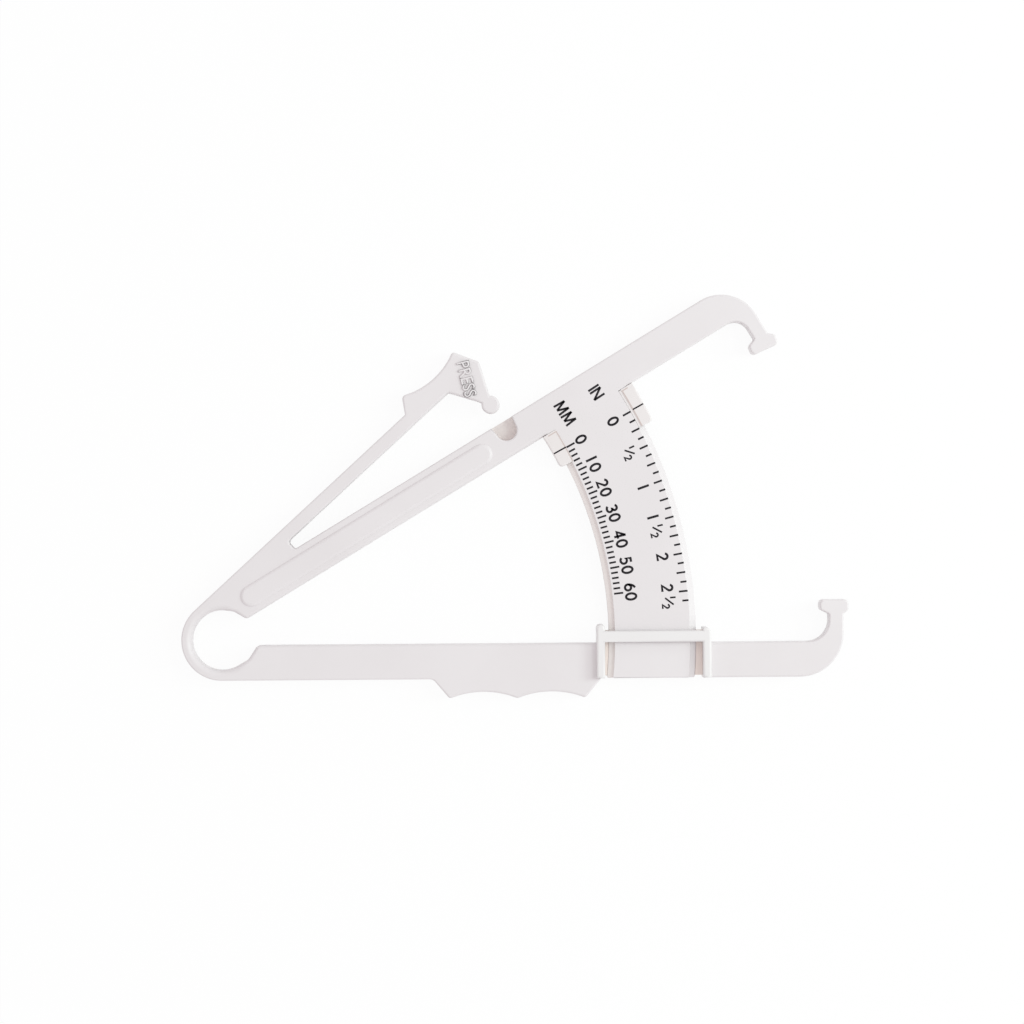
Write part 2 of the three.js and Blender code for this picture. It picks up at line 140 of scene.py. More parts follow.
RUNNER_STEP = 1.0

# Slider
SLIDER_FIT = 0.25
SLIDER_LEFT_WALL = 1.5
SLIDER_RIGHT_WALL = 2.15
SLIDER_FLOOR_GAP = 0.55
SLIDER_PROUD = 0.15
SLIDER_ANGLE = 4.5
SLIDER_TOP_GAP = 0.04
SLIDER_LIP_GAP = 0.03
SLIDER_RIGHT_LIP = 0.8
SLIDER_CORNER = 1.0
SLIDER_ROUND = 0.4
SLIDER_TOP_ROUND = 0.15
LIP_ROUND = 0.1
COVER_REACH = 0.4
STRIP_OVERLAP = 0.05
STRIP_END = 0.1
STRIP_DROP = 0.005
STRIP_ROUND = 0.04
# Painted shade along the gap where each lip of the slider meets the arc, as a dark warm band
SEAM_SHADE_WIDTH = 0.28
SEAM_SHADE_LEFT_END = 1.2
SEAM_SHADE_RIGHT_END = 1.5
SEAM_SHADE_DROP = 0.5
SLIDER_STEP = 1.5

# Press lever
LEVER_ANGLE = 11.4
LEVER_THICKNESS = 3.3
SLOT_END = 28.9
SLOT_CORNER = 0.8
FLEXURE_START = 30.2
LEAF_BEND_END = 44.0
PRESS_ANGLE = 7.0
PAD_START = 72.0
PAD_BACK = 2.6
PAD_BACK_HEIGHT = 4.0
PAD_FRONT = 19.4
PAD_FRONT_HEIGHT = 3.5
PAD_HOLLOW = 1.95
PAD_NOSE = 22.6
PAD_NOSE_DROP = 2.9
PAD_KNEE = 11.7
PAD_CORNER = 0.8
PAD_BACK_RADIUS = 1.1
BALL_RADIUS = 2.25
BALL_THICKNESS = 3.7
BALL_ALONG = 17.4
BALL_DROP = 12.7
NECK_RISE = 3.2
BALL_ROOT_WIDTH = 4.1
BALL_TIP_WIDTH = 2.8
POCKET_FIT = 0.4
POCKET_FLARE = 0.3

# Label panel
PANEL_START = 9.3
PANEL_LENGTH = 73.3
PANEL_WIDTH = 5.7
PANEL_INSET = 1.4
PANEL_RAISE = 0.5
PANEL_ROUND = 1.0
PANEL_DEPTH = 1.6
PANEL_STEPS = 8

# Rounded edges of the mouldings
INNER_ROUND = 1.0
OUTER_ROUND = 0.45
BORE_ROUND = 1.5
JAW_ROUND = 0.5
GRIP_ROUND = 0.6
GUIDE_ROUND = 0.6
POCKET_ROUND = 0.45
BACK_SHARE = 0.6
ROUND_STEPS = 4
ARC_STEP = 5.0
LOOP_STEP = 3.0
HOLLOW_STEP = 2.0
HOLLOW_POINTS = 6
SHARP_ANGLE = 50.0
BEND_STEP = 1.0

# Limits below which a turn, a gap or a face counts as none
NO_TURN = 1e-6
NEARLY_STRAIGHT = 0.05
CLOSED_SHARE = 0.1
MERGE_DISTANCE = 1e-4
FLAT_DISTANCE = 1e-5

# Printed scales, in the lower arm's frame while the jaws are open
ZERO_ANGLE = 28.82
MM_TICK_TURN = 0.7486
MM_TICKS = 31
MM_TICKS_PER_TEN = 5
MM_PER_TICK = 2
MM_TICK_START = 98.85
MM_TICK_SHORT = 1.7
MM_TICK_LONG = 2.3
MM_NUMERAL_RADIUS = 103.0
INCH_TICK_TURN = 1.157
INCH_TICKS = 22
INCH_TICKS_PER_HALF = 4
INCH_HALVES = 6
INCH_TICK_END = 117.2
INCH_TICK_SHORT = 1.55
INCH_TICK_LONG = 2.2
INCH_NUMERAL_RADIUS = 112.2
WHOLE_BEFORE_HALF = 1.2
HALF_AFTER_WHOLE = 2.5
NUMERAL_HEIGHT = 2.55
NUMERAL_STROKE = 0.58
HALF_ONE = (-1.25, 1.15)
HALF_ONE_HEIGHT = 1.2
HALF_TWO = (0.87, -0.75)
HALF_TWO_HEIGHT = 1.65
HALF_STROKE = 0.43
SLASH_PLACE = (-0.35, 0.2)
SLASH_LENGTH = 2.7
SLASH_ANGLE = 48.0
UNIT_ANGLE = 33.08
UNIT_HEIGHT = 2.65
UNIT_STROKE = 0.54
MM_UNIT_RADIUS = 103.0
INCH_UNIT_RADIUS = 112.4
GLYPH_GAP = 0.78
DIGIT_WIDTH_SHARE = 0.6
BOW_STEP = 15.0
TICK_WIDTH = 0.47
INDEX_WIDTH = 0.38
INDEX_MARGIN = 0.22
INDEX_ANGLE = 28.9
INK_HEIGHT = 0.012
MITRE_LIMIT = 0.6

# Raised word on the thumb pad
WORD = "PRESS"
WORD_HEIGHT = 3.35
WORD_LENGTH = 9.0
WORD_RISE = 0.7
WORD_SLOPE = 0.12
WORD_ALONG = 89.4
WORD_UP = 6.12
WORD_TURN = -119.0
# Painted shade on the word's sloping sides fades towards a point along the word; faces that face up less
# than FACING_UP get it
FADE_ALONG = -1.0
FADE_NEAR = 1.2
FADE_FAR = 3.6
FADE_SHARE = 0.85
FACING_UP = 0.9

# Surface of the plastic and the ink, with the scale of each noise in waves to the metre
NOISE_LOW = 0.35
NOISE_HIGH = 0.65
CLOUD_SCALE = 45.0
CLOUD_DETAIL = 3.0
RUBBED_SCALE = 160.0
RUBBED_DETAIL = 4.0
RUBBED_GLOSS = 0.05
RUBBED_DULL = 0.07
GRAIN_SCALE = 3500.0
GRAIN_SHARE = 0.25
FLOW_SCALE = 220.0
TEXTURE_DETAIL = 2.0
BUMP_STRENGTH = 0.12
BUMP_DEPTH = 0.08
PLASTIC_IOR = 1.49
INK_ROUGHNESS = 0.6
INK_SPECULAR = 0.2
INK_DETAIL = 3.0

# Camera and light, as in the photograph
PIXELS_PER_MM = 4.0
IMAGE_SIZE = 1024
LOOP_PIXEL = (221.5, 640.5)
CAMERA_DISTANCE = 850.0
CAMERA_ROLL = -0.42
SENSOR = 36.0
SKY_COLOUR = (1.0, 0.965, 0.972)
SKY_LIGHT = 0.8
LAMP_COLOUR = (0.86, 1.0, 0.95)
LAMP_AZIMUTH = 8.0
LAMP_DISTANCE = 1000.0
LAMP_SIZE = 300.0
FLOOR_SIZE = 4000.0
FLOOR_DROP = 0.2
FLOOR_COLOUR = (0.94, 0.94, 0.94)
FLOOR_GLOW_SHARE = 0.93

joints = {joint["name"]: joint for joint in frame["joints"]}
LOOP_CENTRE = Vector(joints["jaw_hinge"]["pos_m"][:2]) / MM

# Places worked out from the sizes above
loop_outer = LOOP_BORE + LOOP_WALL
lower_inner = -MOUTH_OFFSET
lower_outer = -loop_outer
upper_inner = MOUTH_OFFSET
upper_outer = MOUTH_OFFSET + UPPER_WIDTH
upper_reach = JAW_REACH + UPPER_JAW_LEAD
closed_angle = 2 * math.degrees(math.atan(FOOT_HEIGHT / upper_reach))
arc_outer = ARC_INNER + ARC_WIDTH
rail_top = THICKNESS - RAIL_STEP
window_left = ARC_INNER - GUIDE_LEFT_GAP
window_right = arc_outer + GUIDE_RIGHT_GAP
guide_left = window_left - GUIDE_POST
guide_right = window_right + GUIDE_POST
guide_top = THICKNESS + GUIDE_PROUD
bar_underside = THICKNESS + GUIDE_FACE_GAP
lever_inner = loop_outer - LEVER_THICKNESS
ball_underside = THICKNESS - BALL_THICKNESS
pocket_floor = ball_underside - POCKET_FIT
face_left = ARC_INNER + ARC_RAIL
face_right = arc_outer - ARC_RAIL
lever_turn = math.radians(LEVER_ANGLE)
slot_floor = (upper_outer - SLOT_END * math.sin(lever_turn)) / math.cos(lever_turn)
lever_pivot = Vector((SLOT_END, (lever_inner + slot_floor) / 2))
ball_centre = Vector((PAD_START + BALL_ALONG, loop_outer - BALL_DROP))


# Outlines

# A corner of an outline: its place, the radius it is rounded to in plan, how far its edge is rounded
# over, and whether the side that follows it is a flat cut where the next piece carries on.
Corner = namedtuple("Corner", "x y radius edge cut", defaults=(0.0, OUTER_ROUND, False))


def turned(point, angle):
    """A corner or a pair turned about the spring loop's centre."""
    cosine, sine = math.cos(math.radians(angle)), math.sin(math.radians(angle))
    x, y = point[0] * cosine - point[1] * sine, point[0] * sine + point[1] * cosine
    return point._replace(x=x, y=y) if isinstance(point, Corner) else (x, y)


def polar(radius, angle, **more):
    x, y = turned((radius, 0.0), angle)
    return Corner(x, y, **more)


def arc(radius, start, end, step=ARC_STEP, **more):
    """Corners round the loop's centre from one angle to another."""
    count = max(2, math.ceil(abs(end - start) / step))
    return [polar(radius, start + (end - start) * i / count, **more) for i in range(count + 1)]


def moved(corners, x, y):
    return [corner._replace(x=corner.x + x, y=corner.y + y) for corner in corners]


def hollow(start, end, depth, edge):
    """Corners of a shallow arc from start to end, sunk to the left of the line between them."""
    a, b = Vector(start[:2]), Vector(end[:2])
    half = (b - a).length / 2
    radius = (half * half + depth * depth) / (2 * depth)
    chord = (b - a).normalized()
    right = Vector((chord.y, -chord.x))
    centre = (a + b) / 2 + right * (radius - depth)
    turn = 2 * math.asin(half / radius)
    count = max(HOLLOW_POINTS, math.ceil(math.degrees(turn) / HOLLOW_STEP))
    made = []
    for i in range(1, count):
        spoke = a - centre
        spoke.rotate(Matrix.Rotation(-turn * i / count, 2))
        point = centre + spoke
        if (point - a).length > 2 * start.radius and (point - b).length > 2 * end.radius:
            made.append(Corner(*point, edge=edge))
    return made


def fillet(before, corner, after):
    """The points of one corner of an outline, rounded to its radius."""
    here = Vector(corner[:2])
    into = (here - Vector(before[:2])).normalized()
    out = (Vector(after[:2]) - here).normalized()
    turn = math.atan2(into.cross(out), into.dot(out))
    if not corner.radius or abs(turn) < NO_TURN:
        return [here]
    start = here - into * corner.radius * math.tan(abs(turn) / 2)
    side = Vector((-into.y, into.x)) * math.copysign(corner.radius, turn)
    count = max(2, math.ceil(abs(math.degrees(turn)) / ARC_STEP))
    points = []
    for i in range(count + 1):
        spoke = -side
        spoke.rotate(Matrix.Rotation(turn * i / count, 2))
        points.append(start + side + spoke)
    return points


class Outline:
    """A closed outline, counterclockwise, with the rounding of the edge that meets each point."""

    def __init__(self, corners, step=None):
        self.points, self.before, self.after = [], [], []
        count = len(corners)
        rounded = [fillet(corners[i - 1], corners[i], corners[(i + 1) % count]) for i in range(count)]
        for i, corner in enumerate(corners):
            first = len(self.points)
            for point in rounded[i]:
                self.add(point, corner.edge)
            if corners[i - 1].cut:
                self.before[first] = 0.0
            if corner.cut:
                self.after[-1] = 0.0
            elif step:
                following = (i + 1) % count
                self.divide(rounded[i][-1], rounded[following][0],
                            corner.edge, corners[following].edge, step)

    def add(self, point, edge):
        self.points.append(point)
        self.before.append(edge)
        self.after.append(edge)

    def divide(self, start, end, start_edge, end_edge, step):
        """More points along a straight side, so that it can bend."""
        count = int((end - start).length / step)
        for i in range(1, count):
            self.add(start.lerp(end, i / count), start_edge + (end_edge - start_edge) * i / count)

    def inset(self, share):
        """The points moved inwards by a share of their edge rounding."""
        made = []
        for i, point in enumerate(self.points):
            into = (point - self.points[i - 1]).normalized()
            out = (self.points[(i + 1) % len(self.points)] - point).normalized()
            normal_in, normal_out = Vector((-into.y, into.x)), Vector((-out.y, out.x))
            cross = normal_in.cross(normal_out)
            a, b = self.before[i] * share, self.after[i] * share
            if abs(cross) < NEARLY_STRAIGHT:
                made.append(point + (normal_in + normal_out).normalized() * (a + b) / 2)
            else:
                x = (a * normal_out.y - b * normal_in.y) / cross
                y = (b * normal_in.x - a * normal_out.x) / cross
                made.append(point + Vector((x, y)))
        return made

    def edges(self):
        return [max(a, b) for a, b in zip(self.before, self.after)]


# Meshes
class Shape:
    """A mesh in the making, in millimetres."""

    def __init__(self, mesh=None):
        self.mesh = mesh or bmesh.new()

    def ring(self, points):
        return [self.mesh.verts.new(point) for point in points]

    def face(self, verts):
        if len(set(verts)) > 2:
            self.mesh.faces.new(verts)

    def join(self, low, high):
        """Side faces between two rings that run counterclockwise seen from above."""
        for i in range(len(low)):
            j = (i + 1) % len(low)
            self.face([low[i], low[j], high[j], high[i]])

    def prism(self, outline, low, high, bottom=True, top=True, steps=ROUND_STEPS):
        """An outline raised from low to high. Each end is rounded over and closed, or left open."""
        edges = outline.edges()
        turns = [math.pi / 2 * i / steps for i in range(steps + 1)]

        def flat(height):
            return self.ring([(*point, height) for point in outline.points])

        def rounded(height, turn, share, side):
            points = outline.inset(share * (1 - math.cos(turn)))
            rise = side * share * (1 - math.sin(turn))
            return self.ring([(*point, height + rise * edge) for point, edge in zip(points, edges)])

        made = [rounded(low, turn, BACK_SHARE, 1) for turn in reversed(turns)] if bottom else [flat(low)]
        made += [rounded(high, turn, 1, -1) for turn in turns] if top else [flat(high)]
        for a, b in zip(made, made[1:]):
            self.join(a, b)
        if bottom:
            self.face(list(reversed(made[0])))
        if top:
            self.face(made[-1])
        return self

    def shelf(self, points, height, up):
        """A flat face at one height, facing up or down."""
        verts = self.ring([(*point[:2], height) for point in points])
        self.face(verts if up else list(reversed(verts)))
        return self

    def sweep(self, section, start, end, steps, end_round):
        """A section of radius and height, counterclockwise, turned clockwise round the loop's centre.

        start and end give the angle of a radius at the two ends. The first is cut flat, and the second
        is rounded over by end_round where the section's edge is 1."""
        turns = [math.pi / 2 * i / ROUND_STEPS for i in range(ROUND_STEPS + 1)]
        stations = [(i / steps, 0.0, 0.0) for i in range(steps)]
        stations += [(1.0, 1 - math.sin(turn), 1 - math.cos(turn)) for turn in turns]
        made = []
        for along, back, inset in stations:
            ring = []
            for radius, height in section.inset(inset * end_round):
                angle = start(radius) + (end(radius) - start(radius)) * along
                angle += math.degrees(back * end_round / radius)
                ring.append((*turned((radius, 0.0), angle), height))
            made.append(self.ring(ring))
        for a, b in zip(made, made[1:]):
            self.join(b, a)
        self.face(made[0])
        self.face(list(reversed(made[-1])))
        return self

    def stroke(self, points, width, height):
        """A flat band of ink along some points. It closes where it ends at its start."""
        closed = (points[0] - points[-1]).length < width * CLOSED_SHARE
        if closed:
            points = points[:-1]
        rings = []
        for i, here in enumerate(points):
            into = here - points[i - 1] if i or closed else points[1] - here
            out = points[(i + 1) % len(points)] - here if i < len(points) - 1 or closed else into
            into, out = into.normalized(), out.normalized()
            along = (into + out).normalized()
            side = Vector((-along.y, along.x)) * width / 2 / max(along.dot(out), MITRE_LIMIT)
            low, high = height - INK_HEIGHT, height + INK_HEIGHT
            rings.append(self.ring([(*(here + side), low), (*(here - side), low),
                                    (*(here - side), high), (*(here + side), high)]))
        for a, b in zip(rings, rings[1:] + rings[:1] if closed else rings[1:]):
            self.join(a, b)
        if not closed:
            self.face(rings[0])
            self.face(list(reversed(rings[-1])))

    def clean(self):
        bmesh.ops.remove_doubles(self.mesh, verts=self.mesh.verts, dist=MERGE_DISTANCE)
        bmesh.ops.dissolve_degenerate(self.mesh, edges=self.mesh.edges, dist=FLAT_DISTANCE)
        bmesh.ops.recalc_face_normals(self.mesh, faces=self.mesh.faces)
        return self

    def object(self, name):
        data = bpy.data.meshes.new(name)
        self.mesh.to_mesh(data)
        self.mesh.free()
        made = bpy.data.objects.new(name, data)
        bpy.context.scene.collection.objects.link(made)
        return made

    def united(self, other):
        """One skin round this shape and another that it overlaps."""
        both = [shape.clean().object("helper") for shape in (self, other)]
        modifier = both[0].modifiers.new("union", "BOOLEAN")
        modifier.operation = "UNION"
        modifier.solver = "EXACT"
        modifier.object = both[1]
        made = Shape(evaluated(both[0]))
        for helper in both:
            bpy.data.objects.remove(helper)
        return made

    def piece(self, name, angle, material, slot):
        """The finished object, with its shape turned from its own frame and placed at the loop."""
        self.clean()
        bmesh.ops.transform(self.mesh, matrix=place(angle), verts=self.mesh.verts)
        made = self.object(name)
        made.data.shade_smooth()
        made.data.set_sharp_from_angle(angle=math.radians(SHARP_ANGLE))
        made.data.materials.append(material)
        modifier = made.modifiers.new("flat faces stay flat", "WEIGHTED_NORMAL")
        modifier.keep_sharp = True
        return made


def place(angle):
    """From an arm's frame in millimetres to the model's frame in metres."""
    shift = Matrix.Translation((*(LOOP_CENTRE * MM), 0.0))
    return shift @ Matrix.Rotation(math.radians(angle), 4, "Z") @ Matrix.Scale(MM, 4)


def evaluated(helper):
    """The final mesh of an object, as a bmesh."""
    graph = bpy.context.evaluated_depsgraph_get()
    mesh = bpy.data.meshes.new_from_object(helper.evaluated_get(graph))
    made = bmesh.new()
    made.from_mesh(mesh)
    bpy.data.meshes.remove(mesh)
    return made


def text_mesh(data):
    helper = bpy.data.objects.new("helper", data)
    bpy.context.scene.collection.objects.link(helper)
    made = evaluated(helper)
    bpy.data.objects.remove(helper)
    return made


def corners_of(mesh):
    places = np.array([v.co for v in mesh.verts])
    return places.min(0), places.max(0)


def lettering(text, height, rise, slope):
    """Text as a solid in millimetres, its middle over the origin and its underside at zero."""
    data = bpy.data.curves.new("lettering", "FONT")
    data.body = text
    flat = text_mesh(data)
    low, high = corners_of(flat)
    flat.free()
    data.size *= (height - 2 * slope) / (high[1] - low[1])
    data.extrude = rise / 2 - slope
    data.bevel_depth = slope
    data.bevel_resolution = 0
    made = text_mesh(data)
    low, high = corners_of(made)
    middle = (low + high) / 2
    bmesh.ops.translate(made, verts=made.verts, vec=(-middle[0], -middle[1], rise / 2))
    return made


# Materials
def principled(name, colour, roughness):
    material = bpy.data.materials.new(name)
    material.use_nodes = True
    shader = material.node_tree.nodes["Principled BSDF"]
    shader.inputs["Base Color"].default_value = (*colour, 1)
    shader.inputs["Roughness"].default_value = roughness
    return material, material.node_tree.nodes, material.node_tree.links, shader


def noise(nodes, links, where, scale, detail):
    node = nodes.new("ShaderNodeTexNoise")
    node.inputs["Scale"].default_value = scale
    node.inputs["Detail"].default_value = detail
    links.new(where, node.inputs["Vector"])
    return node.outputs["Fac"]


def ramp(nodes, links, source, low, high, from_low=NOISE_LOW, from_high=NOISE_HIGH):
    node = nodes.new("ShaderNodeMapRange")
    node.inputs["From Min"].default_value = from_low
    node.inputs["From Max"].default_value = from_high
    node.inputs["To Min"].default_value = low
    node.inputs["To Max"].default_value = high
    links.new(source, node.inputs["Value"])
    return node.outputs["Result"]


def calculated(nodes, links, operation, *values):
    """The result of a math node. Each value is a number or a socket."""
    node = nodes.new("ShaderNodeMath")
    node.operation = operation
    for socket, value in zip(node.inputs, values):
        if isinstance(value, float):
            socket.default_value = value
        else:
            links.new(value, socket)
    return node.outputs["Value"]


def mix_colours(nodes, links, shader, colour, shade, factor):
    """Makes the shader's colour run from one colour to another."""
    mix = nodes.new("ShaderNodeMix")
    mix.data_type = "RGBA"
    mix.inputs["A"].default_value = (*colour, 1)
    mix.inputs["B"].default_value = (*shade, 1)
    links.new(factor, mix.inputs["Factor"])
    links.new(mix.outputs["Result"], shader.inputs["Base Color"])


def plastic(name, colour, shade, roughness):
    """Moulded plastic: faint clouds in its colour, a fine mould texture and shiny rubbed spots."""
    material, nodes, links, shader = principled(name, colour, roughness)
    where = nodes.new("ShaderNodeTexCoord").outputs["Object"]
    clouds = noise(nodes, links, where, CLOUD_SCALE, CLOUD_DETAIL)
    mix_colours(nodes, links, shader, colour, shade, ramp(nodes, links, clouds, 0.0, 1.0))
    rubbed = noise(nodes, links, where, RUBBED_SCALE, RUBBED_DETAIL)
    gloss = ramp(nodes, links, rubbed, roughness - RUBBED_GLOSS, roughness + RUBBED_DULL)
    links.new(gloss, shader.inputs["Roughness"])
    grain = noise(nodes, links, where, GRAIN_SCALE, TEXTURE_DETAIL)
    flow = noise(nodes, links, where, FLOW_SCALE, TEXTURE_DETAIL)
    bump = nodes.new("ShaderNodeBump")
    bump.inputs["Strength"].default_value = BUMP_STRENGTH
    bump.inputs["Distance"].default_value = BUMP_DEPTH * MM
    links.new(calculated(nodes, links, "MULTIPLY_ADD", grain, GRAIN_SHARE, flow), bump.inputs["Height"])
    links.new(bump.outputs["Normal"], shader.inputs["Normal"])
    shader.inputs["IOR"].default_value = PLASTIC_IOR
    return material


def ink(name, colour, shade, scale, sharp, fade_point=None):
    """Dark printing or painted shade, thinner in some places, and lighter near a point when one is given.
    """
    material, nodes, links, shader = principled(name, colour, INK_ROUGHNESS)
    shader.inputs["Specular IOR Level"].default_value = INK_SPECULAR
    where = nodes.new("ShaderNodeTexCoord").outputs["Object"]
    thin = noise(nodes, links, where, scale, INK_DETAIL)
    middle = (NOISE_LOW + NOISE_HIGH) / 2
    factor = ramp(nodes, links, thin, 0.0, 1.0, middle - sharp, middle + sharp)
    if fade_point:
        away = nodes.new("ShaderNodeVectorMath")
        away.operation = "DISTANCE"
        away.inputs[1].default_value = fade_point
        links.new(where, away.inputs[0])
        near, far = FADE_NEAR * MM, FADE_FAR * MM
        faded = ramp(nodes, links, away.outputs["Value"], FADE_SHARE, 0.0, near, far)
        factor = calculated(nodes, links, "MAXIMUM", faded, factor)
    mix_colours(nodes, links, shader, colour, shade, factor)
    return material


white = plastic("white_plastic", colour=(0.8, 0.765, 0.778), shade=(0.78, 0.743, 0.755), roughness=0.4)
# Painted light: the guide is the same plastic as the arms, painted whiter for how the light falls on it
guide_painted_light = plastic("guide_painted_light_plastic", colour=(0.835, 0.818, 0.82), shade=(0.82, 0.8, 0.802), roughness=0.38)
# Painted light: a lighter, warmer colour in shaded recesses, in place of light that comes through the
# plastic
recess_painted_glow = plastic("recess_painted_glow_plastic", colour=(0.9, 0.8, 0.75), shade=(0.885, 0.78, 0.73), roughness=0.42)
# Painted light: a lighter, warmer colour in the shaded pocket and rail, in place of light that comes
# through the plastic
hollow_painted_glow = plastic("hollow_painted_glow_plastic", colour=(0.87, 0.82, 0.805), shade=(0.855, 0.802, 0.785), roughness=0.42)
cream = plastic("slider_plastic", colour=(0.82, 0.78, 0.78), shade=(0.805, 0.76, 0.755), roughness=0.36)
# Painted shade: a dark warm colour for the shadow in the gap between the slider and the arc
seam_painted_shade = plastic("painted_seam_shade", colour=(0.61, 0.515, 0.49), shade=(0.64, 0.545, 0.52), roughness=0.42)
black = ink("printing_ink", colour=(0.007, 0.005, 0.008), shade=(0.02, 0.017, 0.021),
            scale=900.0, sharp=0.15)
MOULDING = "white_moulding"


# Lower arm
def lower_arm():
    grip_tip = lower_outer - GRIP_DEPTH
    first = GRIP_START + GRIP_LEAD
    teeth = [Corner(first + GRIP_PITCH * i, grip_tip, GRIP_TOOTH_RADIUS, GRIP_ROUND)
             for i in range(GRIP_GAPS + 1)]
    grip = [Corner(GRIP_START, lower_outer, GRIP_START_RADIUS)]
    for i, tooth in enumerate(teeth):
        grip.append(tooth)
        if i < GRIP_GAPS:
            grip += hollow(tooth, teeth[i + 1], GRIP_HOLLOW, GRIP_ROUND)
    grip.append(Corner(teeth[-1].x + GRIP_TAIL, lower_outer))
    leave = polar(LOOP_BORE, -LOWER_MOUTH_ANGLE)
    run = polar(LOWER_MOUTH_RUN, 90 - LOWER_MOUTH_ANGLE)
    outline = Outline([
        Corner(0, lower_outer),
        *grip,
        Corner(guide_left, lower_outer, cut=True),
        Corner(guide_left, lower_inner, edge=INNER_ROUND),
        Corner(LOWER_NOSE, lower_inner, LOWER_NOSE_RADIUS, INNER_ROUND),
        Corner(leave.x + run.x, leave.y + run.y, KNEE_RADIUS, INNER_ROUND),
        *arc(LOOP_BORE, -LOWER_MOUTH_ANGLE, -90, edge=BORE_ROUND)[:-1],
        Corner(0, -LOOP_BORE, edge=BORE_ROUND, cut=True),
    ])
    made = Shape().prism(outline, 0, THICKNESS).piece("lower_arm_moulding", 0, white, MOULDING)
    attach(made, "lower_arm")
    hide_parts("lower_arm", "finger_grip")


def jaw_corners(reach, shift, inner, outer, inner_radius, outer_radius, turn):
    """A jaw and its foot, from the outer edge of its arm round to the inner edge."""
    side = 1 if inner > outer else -1
    back = FOOT_HEIGHT - side * FOOT_THICKNESS
    far, near = reach + FOOT_WIDTH / 2, reach - FOOT_WIDTH / 2
    neck = [reach + shift + side_of_neck * NECK_WIDTH / 2 for side_of_neck in (1, -1)]
    root = [turned((x, FOOT_HEIGHT - side * NECK_ROOT_DEPTH), turn)[1] for x in neck]
    foot = [(far, back), (far, FOOT_HEIGHT), (near, FOOT_HEIGHT), (near, back)]
    return [
        Corner(neck[0], outer, outer_radius, JAW_ROUND),
        Corner(neck[0], root[0], NECK_ROOT_RADIUS, JAW_ROUND),
        *(turned(Corner(x, y, FOOT_CORNER, JAW_ROUND), turn) for x, y in foot),
        Corner(neck[1], root[1], NECK_ROOT_RADIUS, JAW_ROUND),
        Corner(neck[1], inner, inner_radius, JAW_ROUND),
    ]


def lower_jaw():
    outline = Outline([
        Corner(guide_right, lower_outer),
        *jaw_corners(JAW_REACH, LOWER_NECK_SHIFT, lower_inner, lower_outer,
                     LOWER_INNER_RADIUS, LOWER_OUTER_RADIUS, 0),
        Corner(guide_right, lower_inner, edge=INNER_ROUND, cut=True),
    ])
    made = Shape().prism(outline, 0, THICKNESS).piece("lower_jaw_moulding", 0, white, MOULDING)
    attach(made, "lower_arm")
    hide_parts("lower_jaw", "lower_jaw_foot")


# Guide
def guide():
    bar_low, bar_high = GUIDE_BAR_TOP - GUIDE_BAR_WIDTH, GUIDE_BAR_TOP

    def corner(x, y, radius=0.0, cut=False):
        return Corner(x, y, radius, GUIDE_ROUND, cut)

    def post(left, right, top, left_radius, right_radius):
        return [
            corner(left, lower_outer),
            corner(right, lower_outer),
            corner(right, top, right_radius),
            corner(left, top, left_radius),
        ]

    left_post = post(guide_left, window_left, GUIDE_NUB, GUIDE_NUB_RADIUS, GUIDE_NUB_RADIUS)
    right_post = post(window_right, guide_right, GUIDE_WEB_TOP, 0.0, GUIDE_CORNER)
    bar_left = [corner(window_left, y) for y in (bar_low, bar_high)]
    bar_right = [corner(window_right, y) for y in (bar_high, bar_low)]
    shape = Shape()
    shape.prism(Outline(left_post[:2] + bar_left + left_post[2:]), 0, bar_underside, top=False)
    shape.prism(Outline(right_post + bar_right), 0, bar_underside, top=False)
    frame_outline = left_post[:2] + bar_left[:1] + bar_right[1:] + right_post + bar_right[:1] + bar_left[1:]
    shape.prism(Outline(frame_outline + left_post[2:]), bar_underside, guide_top, bottom=False)
    shape.shelf([bar_left[0], bar_right[1], bar_right[0], bar_left[1]], bar_underside, up=False)
    # The guide takes the whiter colour, which is painted light
    made = shape.piece("guide_moulding", 0, guide_painted_light, MOULDING)
    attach(made, "lower_arm")
    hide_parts("guide_left_post", "guide_right_post", "guide_front_bar")

    low = lower_outer + GUIDE_WEB_INSET
    web = Outline([
        corner(window_left, low),
        corner(window_right, low, cut=True),
        corner(window_right, GUIDE_BAR_TOP),
        corner(window_left, GUIDE_BAR_TOP, cut=True),
    ])
    shape = Shape().prism(web, 0, ARC_LIFT - GUIDE_FACE_GAP)
    for wall, radius in ((window_left, ARC_INNER - RUNNER_GAP), (window_right, arc_outer + RUNNER_GAP)):
        shape = shape.united(runner(wall, radius, low))
    # The web and its runners, deep in the guide's window, get the painted glow of light through the plastic
    made = shape.piece("guide_web_moulding", 0, recess_painted_glow, MOULDING)
    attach(made, "lower_arm")
    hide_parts("guide_back_web")


def runner(wall, radius, low):
    """A low rib that fills the gap between a post and the curved side of the arc."""
    angles = [math.degrees(math.asin(y / radius)) for y in (low, GUIDE_BAR_TOP)]
    curve = arc(radius, *angles, step=RUNNER_STEP, edge=RUNNER_ROUND)
    walls = [Corner(wall, y, edge=RUNNER_ROUND) for y in (GUIDE_BAR_TOP, low)]
    corners = curve + walls
    return Shape().prism(Outline(corners if wall < radius else corners[::-1]), 0, RUNNER_TOP)


# Spring loop
def spring_loop():
    """The C of the loop between the two arms."""
    start, end = -90, 90 + OPEN_ANGLE + LEVER_ANGLE - 360
    inner = arc(LOOP_BORE, start, end, step=LOOP_STEP, edge=BORE_ROUND)
    outer = arc(loop_outer, end, start, step=LOOP_STEP)
    for side in (inner, outer):
        side[-1] = side[-1]._replace(cut=True)
    outline = Outline(inner + outer)
    made = Shape().prism(outline, 0, THICKNESS).piece("spring_loop_moulding", 0, white, MOULDING)
    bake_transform(made)
    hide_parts("spring_loop")


